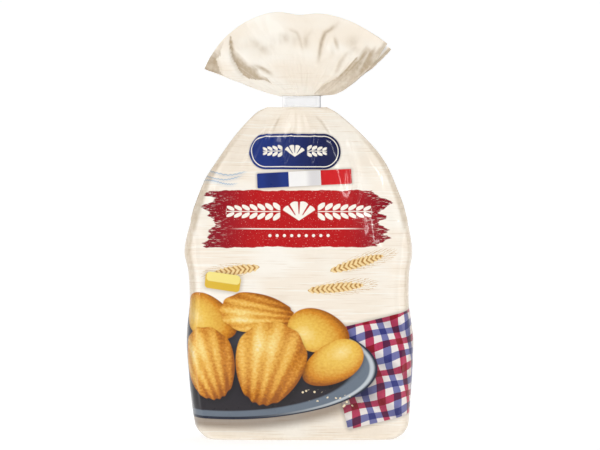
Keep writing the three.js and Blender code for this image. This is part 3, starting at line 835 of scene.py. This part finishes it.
def sheet(name, outer, inner, on_print, *materials):
    """A closed slab of film between two grids, mapped to its print, with the points at its faces' corners
    and how many faces each side has. The outer side's come first, then the inner side's and the edge's."""
    grid = np.arange(outer[..., 0].size).reshape(outer.shape[:2])
    a, b, c, d = grid[:-1, :-1], grid[:-1, 1:], grid[1:, 1:], grid[1:, :-1]
    outside = np.stack([a, b, c, d], axis=-1).reshape(-1, 4)
    edge = np.concatenate([grid[0], grid[1:, -1], grid[-1, -2::-1], grid[-2:0:-1, 0]])
    ahead = np.roll(edge, -1)
    rim = np.stack([ahead, edge, edge + grid.size, ahead + grid.size], axis=1)
    faces = np.concatenate([outside, outside[:, ::-1] + grid.size, rim])
    piece = piece_of(name, np.stack([outer, inner]) * MM, faces.tolist(), *materials)
    corners = faces.reshape(-1)
    lay_map(piece, "print", np.tile(on_print.reshape(-1, 2) * MM, (2, 1))[corners])
    return piece, corners, len(outside)


def printed_at(columns):
    """Where points of the web lie on its print, from the middle of these columns."""
    step = np.linalg.norm(np.diff(smooth_film[:, columns, :2], axis=1), axis=2)
    along = np.concatenate([np.zeros((rows, 1)), np.cumsum(step, axis=1)], axis=1)
    u = along - along[:, [len(columns) // 2]]
    v = smooth_film[:, columns, 2].copy()
    foot = np.abs(smooth_film[:first_body + 1, columns, 1])
    v[:first_body] = foot[:-1] - foot[-1]
    return np.stack([u, v], axis=-1)


def film_piece(name, first, last, inks):
    """The film from one column to another, printed outside and plain inside."""
    columns = np.arange(first, last + 1) % COLUMNS
    inner = film - outward(film) * WALL
    piece, corners, count = sheet(
        name, film[:, columns], inner[:, columns], printed_at(columns), inks, lining_film,
    )
    density_and_shade = np.stack([doubled_and_painted_light[:, columns], np.zeros((rows, len(columns)))])
    piece.data.attributes.new("doubled_and_painted_light", "FLOAT", "POINT").data.foreach_set("value", density_and_shade.ravel())
    slots = np.zeros(len(corners) // 4, dtype=np.int32)
    slots[count:2 * count] = 1
    piece.data.polygons.foreach_set("material_index", slots)

    # A second map with the printed side large, the plain side small and the edges between them.
    across, up = np.meshgrid(np.linspace(0.003, 0.997, len(columns)), np.linspace(0, 1, rows))
    large = np.stack([across, 0.003 + 0.875 * up], axis=-1).reshape(-1, 2)
    small = np.stack([across, 0.905 + 0.09 * up], axis=-1).reshape(-1, 2)
    laid_out = np.concatenate([large, small])[corners]
    edges = len(slots) - 2 * count
    turn = np.linspace(0.003, 0.997, edges + 1)
    laid_out[-4 * edges:, 0] = np.stack([turn[1:], turn[:-1], turn[:-1], turn[1:]], axis=1).ravel()
    laid_out[-4 * edges:, 1] = np.tile([0.885, 0.885, 0.897, 0.897], edges)
    lay_map(piece, "OFBake", laid_out)
    return piece


web = Web("film_inside")
web.canvas = ink(240, 232, 216)
web.lay(ink(226, 214, 192), web.soft(web.grain(30, 2, 3), 0.4, 0.8))
lining_film = web.finish(0.3)

for name, first, inks in (("film_front", -QUARTER, front_print), ("film_back", QUARTER, back_print)):
    half = film_piece(name, first, first + 2 * QUARTER, inks)
    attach(half, "root")
    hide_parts("bag")

# ---- The seam up the back ----
# The two edges of the web are welded face to face up the middle of the back and folded flat, a strip of
# double film 11 mm wide. Hot jaws have pressed ribs across it, and the neck gathers it with the rest.
SEAM = dict(columns=5, outer=0.32, inner=0.05)
SEAM_RIB = dict(pitch=1.7, width=0.55, height=0.22)

columns = np.arange(2 * QUARTER - SEAM["columns"], 2 * QUARTER + SEAM["columns"] + 1)
normals = outward(film)[:, columns]
lifted = film[:, columns] + normals * SEAM["outer"]
laid_on = film[:, columns] + normals * SEAM["inner"]
web = Web("seam_film")
web.ground()
seam_film = web.finish(0.24)
upright = slice(first_body + 1, None)
seam, _, _ = sheet("back_seam", lifted[upright], laid_on[upright], printed_at(columns)[upright], seam_film)


def rib_tree():
    """Geometry Nodes that set a low bar on each point, as long as the point says, and lay it on the film."""
    tree = bpy.data.node_groups.new("weld_ribs", "GeometryNodeTree")
    for name, kind in (
        ("Geometry", "Geometry"), ("Rib Width", "Float"), ("Rib Height", "Float"), ("Film", "Material"),
    ):
        tree.interface.new_socket(name, in_out="INPUT", socket_type="NodeSocket" + kind)
    tree.interface.new_socket("Geometry", in_out="OUTPUT", socket_type="NodeSocketGeometry")
    nodes = Nodes(tree)

    def named(name, kind):
        return nodes.add("GeometryNodeInputNamedAttribute", name, data_type=kind).outputs["Attribute"]

    points, width, height, material = nodes.add("NodeGroupInput").outputs[:4]
    size = nodes.add("ShaderNodeCombineXYZ", 1, width, height).outputs[0]
    bar = nodes.add("GeometryNodeMeshCube", size, 6).outputs["Mesh"]
    turned = None
    for axis, name, pivot in (("Z", "out", "AUTO"), ("X", "along_rib", "Z")):
        way = named(name, "FLOAT_VECTOR")
        align = nodes.add("FunctionNodeAlignRotationToVector", turned, None, way, axis=axis, pivot_axis=pivot)
        turned = align.outputs["Rotation"]
    scale = nodes.add("ShaderNodeCombineXYZ", named("rib_length", "FLOAT"), 1, 1).outputs[0]
    bars = nodes.add("GeometryNodeInstanceOnPoints")
    for name, value in (("Points", points), ("Instance", bar), ("Rotation", turned), ("Scale", scale)):
        nodes.feed(bars.inputs[name], value)
    real = nodes.add("GeometryNodeRealizeInstances", bars.outputs[0]).outputs[0]
    finish = nodes.add("GeometryNodeSetMaterial", real, None, material)
    nodes.add("NodeGroupOutput", finish.outputs[0])
    return tree


WELD_RIBS = rib_tree()


def ribs(name, left, right, out, width, height, material):
    """Bars from left points to right ones, lying on a surface that faces out."""
    guide = bpy.data.meshes.new(name)
    guide.from_pydata(((left + right) / 2 * MM).tolist(), [], [])
    for key, kind, field, values in (
        ("out", "FLOAT_VECTOR", "vector", np.broadcast_to(out, left.shape)),
        ("along_rib", "FLOAT_VECTOR", "vector", right - left),
        ("rib_length", "FLOAT", "value", np.linalg.norm(right - left, axis=1) * MM),
    ):
        guide.attributes.new(key, kind, "POINT").data.foreach_set(field, values.ravel())
    piece = place_object(name, guide)
    modifier = piece.modifiers.new("ribs", "NODES")
    modifier.node_group = WELD_RIBS
    inputs = {item.name: item.identifier for item in WELD_RIBS.interface.items_tree if item.in_out == "INPUT"}
    modifier[inputs["Rib Width"]] = width * MM
    modifier[inputs["Rib Height"]] = height * MM
    modifier[inputs["Film"]] = material
    made = bpy.data.meshes.new_from_object(piece.evaluated_get(bpy.context.evaluated_depsgraph_get()))
    piece.modifiers.remove(modifier)
    piece.data = made
    made.name = name
    return piece


def every(pitch, path):
    """Row positions, with their fractions, at a pitch along a path of one point for each row."""
    length = np.concatenate([[0], np.cumsum(np.linalg.norm(np.diff(path, axis=0), axis=1))])
    return np.interp(np.arange(pitch, length[-1] - pitch / 2, pitch), length, np.arange(len(path)))


def between(grid, place):
    low = np.minimum(place.astype(int), len(grid) - 2)
    share = (place - low)[:, None]
    return grid[low] * (1 - share) + grid[low + 1] * share


places = every(SEAM_RIB["pitch"], lifted[upright, SEAM["columns"]]) + first_body + 1
seam_ribs = ribs(
    "seam_ribs", between(lifted[:, 1], places), between(lifted[:, -2], places),
    between(normals[:, SEAM["columns"]], places), SEAM_RIB["width"], SEAM_RIB["height"], seam_film,
)
for piece in (seam, seam_ribs):
    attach(piece, "root")

# ---- The weld under the bag ----
# Front and back are welded together across the foot, and the bag stands on the fin, folded flat.
FIN = dict(left=-64.0, right=68.0, front=0.6, back=9.6, low=0.12, high=0.38)
FIN_RIB = dict(pitch=1.7, front=1.4, back=8.8, width=0.6, height=0.16)
across = np.linspace(FIN["left"], FIN["right"], 67)
deep = np.linspace(FIN["front"], FIN["back"], 7)
flat = np.dstack(np.meshgrid(across, deep))
above, under = (np.dstack([flat, np.full(flat.shape[:2], FIN[side])]) for side in ("high", "low"))
foot_weld, _, _ = sheet("foot_weld", above, under, flat, seam_film)


def level_points(x, y, z):
    return np.column_stack(np.broadcast_arrays(x, y, z))


DOWN = (0.0, 0.0, -1.0)
rib_x = np.arange(FIN["left"] + 1, FIN["right"], FIN_RIB["pitch"])
ends = [level_points(rib_x, FIN_RIB[end], FIN["low"]) for end in ("front", "back")]
foot_ribs = ribs("foot_ribs", *ends, DOWN, FIN_RIB["width"], FIN_RIB["height"], seam_film)
for piece in (foot_weld, foot_ribs):
    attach(piece, "root")

# ---- The clip ----
# A strip of white polypropylene closed round the neck, its two ends lapped and locked at the back by a
# row of small teeth. It is moulded, with a raised rim along both edges.
CLIP = dict(
    low=238.55, high=246.75, half_wide=14.0, half_deep=5.0, corner=2.2, wall=1.1, recess=0.75, pad=2.2,
)
LAP = dict(half_wide=6.5, rise=0.8)
TEETH = dict(count=9, pitch=1.25, y=5.78, low=240.5, high=244.7, width=0.6, height=0.5)

# Painted shade: the clear white plastic is greyed where it bends sharply round its two sides, more on the
# right.
plastic = Surface("clip_plastic")
place = plastic.result("TexCoord", output="Object")
cloudy = plastic.result("TexNoise", place, None, 220, 3)
plastic.canvas = plastic.tones(cloudy, (0, (0.9, 0.9, 0.91, 1)), (1, (0.95, 0.95, 0.955, 1)))
left_end, right_end = ((NECK["centre_x"] + side * CLIP["half_wide"]) * MM for side in (-1, 1))
from_left = plastic.result("MapRange", plastic.split(place)[0], left_end, right_end)
stops = [(share, (grey, grey, grey, 1)) for share, grey in ((0.005, 0.3), (0.035, 0), (0.95, 0), (0.985, 1))]
# Painted shade at the strip's two bent ends.
plastic.lay((0.42, 0.43, 0.46, 1), plastic.tones(from_left, *stops))
drawn = plastic.result("TexNoise", place, None, 900)
clip = plastic.dress({
    "Base Color": plastic.canvas,
    "Roughness": plastic.result("MapRange", drawn, 0, 1, 0.28, 0.44),
    "Normal": plastic.result("Bump", 0.12, 0.0002, None, drawn),
    "Subsurface Weight": 0.1,
    "Subsurface Radius": (0.002, 0.002, 0.002),
})


def round_faces(grid, ahead):
    """Faces between the rows of a grid and the rows ahead of them, closed from column to column."""
    faces = np.stack([grid, ahead, np.roll(ahead, -1, 1), np.roll(grid, -1, 1)], axis=-1)
    return faces.reshape(-1, 4).tolist()


# Points round the clip's plan, clockwise from the right end of its back, and the way out at each.
plan = []
for right, back, start in ((1, 1, 90), (1, -1, 0), (-1, -1, -90), (-1, 1, -180)):
    turn = np.radians(start - 90 * np.arange(9) / 8)
    out = np.stack([np.cos(turn), np.sin(turn)], axis=1)
    centre = right * (CLIP["half_wide"] - CLIP["corner"]), back * (CLIP["half_deep"] - CLIP["corner"])
    plan.append(np.hstack([centre + out * CLIP["corner"], out]))
plan = np.concatenate([*plan, plan[0][:1]])
length = np.concatenate([[0], np.cumsum(np.linalg.norm(np.diff(plan[:, :2], axis=0), axis=1))])
even = np.unique(np.concatenate([length[:-1], np.arange(0, length[-1], 0.5)]))
at, out = np.hsplit(np.stack([np.interp(even, length, measure) for measure in plan.T], axis=1), 2)
tall, wall = CLIP["high"] - CLIP["low"], CLIP["wall"]
# How far out a place on the strip's section is, how high, and whether it is in the recess between the rims.
half_section = [
    (-wall, 0.25, 0), (0.07 - wall, 0.07, 0), (0.25 - wall, 0, 0), (-0.25, 0, 0), (-0.08, 0.07, 0),
    (0, 0.25, 0), (0, 0.95, 0), (-0.06, 1.1, 0), (0, 1.3, 1), (0, 1.6, 1), (0, 2.6, 1),
]
section = half_section + [(out_by, tall - up, sunk) for out_by, up, sunk in half_section[::-1]]
section += [(-wall, 5.0, 0), (-wall, 3.3, 0)]
from_middle, pad_end = np.abs(at[:, 0]), CLIP["half_wide"] - CLIP["pad"]
on_front, on_back = at[:, 1] < 0, at[:, 1] > CLIP["half_deep"] - 0.01
recessed = on_front * ramp(pad_end + 0.4, pad_end - 0.3, from_middle)
recessed += on_back * ramp(LAP["half_wide"] + 1, LAP["half_wide"] + 1.6, from_middle)
lapped = LAP["rise"] * ramp(LAP["half_wide"] + 0.2, LAP["half_wide"], from_middle) * on_back
rings = []
for out_by, up, sunk in section:
    by = out_by - CLIP["recess"] * sunk * recessed + (lapped if out_by > -wall else 0)
    rings.append(np.column_stack([at + out * by[:, None], np.full(len(at), CLIP["low"] + up)]))
rings = np.array(rings) + (NECK["centre_x"], 0, 0)
grid = np.arange(rings[..., 0].size).reshape(rings.shape[:2])
strap = piece_of("clip_strap", rings * MM, round_faces(grid, np.roll(grid, -1, 0)), clip)
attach(strap, "root")
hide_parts("clip")

tooth_x = NECK["centre_x"] + (np.arange(TEETH["count"]) - (TEETH["count"] - 1) / 2) * TEETH["pitch"]
ends = [level_points(tooth_x, TEETH["y"], TEETH[end]) for end in ("low", "high")]
REARWARD = (0.0, 1.0, 0.0)
teeth = ribs("clip_teeth", *ends, REARWARD, TEETH["width"], TEETH["height"], clip)
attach(teeth, "root")

# ---- Studio ----
# A round white floor that curves up far away on every side. Like the paper on a light table it glows a
# little, more behind the bag. A key light high in front models the folds, and a soft one hangs above. A
# strip at each side draws the gloss along the edges, and one in front on the right sets glints on the film.
FLAT, BEND, TOP = 3.4, 1.6, 4.2
rising, turn = np.linspace(0, math.pi / 2, 13), np.linspace(0, 2 * math.pi, 73)[:-1]
radius = np.concatenate([[0.05, 0.4, 1.2], FLAT + BEND * np.sin(rising), [FLAT + BEND]])
height = np.concatenate([[0, 0, 0], BEND - BEND * np.cos(rising), [TOP]])
points = np.dstack([
    np.outer(radius, np.cos(turn)), np.outer(radius, np.sin(turn)), np.outer(height, np.ones(72)),
])
paper = Surface("bowl_paper")
_, behind = paper.split(paper.result("TexCoord", output="Object"))
looks = {
    "Base Color": (0.62, 0.62, 0.62, 1),
    "Roughness": 0.9,
    "Emission Color": (1, 1, 1, 1),
    "Emission Strength": paper.result("MapRange", behind, -1.5, 0.6, 0.16, 0.64),
}
grid = np.arange(points[..., 0].size).reshape(points.shape[:2])
bowl = piece_of("bowl", points, [grid[0].tolist()] + round_faces(grid[:-1], grid[1:]), paper.dress(looks))

AIM = Vector((0, 0, 0.15))
for name, place, width, height, watts in (
    ("key_softbox", (-0.2, -1.2, 1.6), 0.6, 0.6, 8.4),
    ("left_strip", (-1.15, -0.35, 0.3), 0.035, 1.3, 4.6),
    ("right_strip", (1.15, -0.35, 0.3), 0.035, 1.3, 3.8),
    ("front_strip", (0.79, -1.5, 0.93), 0.035, 1.0, 2.9),
    ("top_softbox", (0.2, 0.2, 1.6), 1.2, 0.9, 4),
):
    lamp = bpy.data.lights.new(name, "AREA")
    lamp.shape = "RECTANGLE"
    lamp.size, lamp.size_y, lamp.energy = width, height, watts
    light = place_object(name, lamp)
    light.location = place
    light.rotation_euler = (AIM - Vector(place)).to_track_quat("-Z", "Y").to_euler()
world = bpy.data.worlds.new("studio")
world.use_nodes = True
world.node_tree.nodes["Background"].inputs["Color"].default_value = (1, 1, 1, 1)
world.node_tree.nodes["Background"].inputs["Strength"].default_value = 0.2
bpy.context.scene.world = world
bpy.context.scene.view_settings.view_transform = "Standard"

# ---- Camera ----
# Level with the middle of the bag and straight in front of it, from far enough to show it almost without
# perspective. The frame is 600 by 450, and one of its pixels covers 0.72 mm at the bag.
DISTANCE = 3.6
PIXEL = 0.72 * MM
FRAME_WIDTH, FRAME_HEIGHT = 600, 450
BAG_CENTRE_PIXEL, GROUND_PIXEL = 299.0, 438.8
camera_data = bpy.data.cameras.new("camera")
camera_data.sensor_width = 36
camera_data.lens = camera_data.sensor_width * DISTANCE / (FRAME_WIDTH * PIXEL)
camera = place_object("camera", camera_data)
camera.location = (
    (FRAME_WIDTH / 2 - BAG_CENTRE_PIXEL) * PIXEL, -DISTANCE, (GROUND_PIXEL - FRAME_HEIGHT / 2) * PIXEL,
)
camera.rotation_euler = (math.pi / 2, 0, 0)
bpy.context.scene.camera = camera
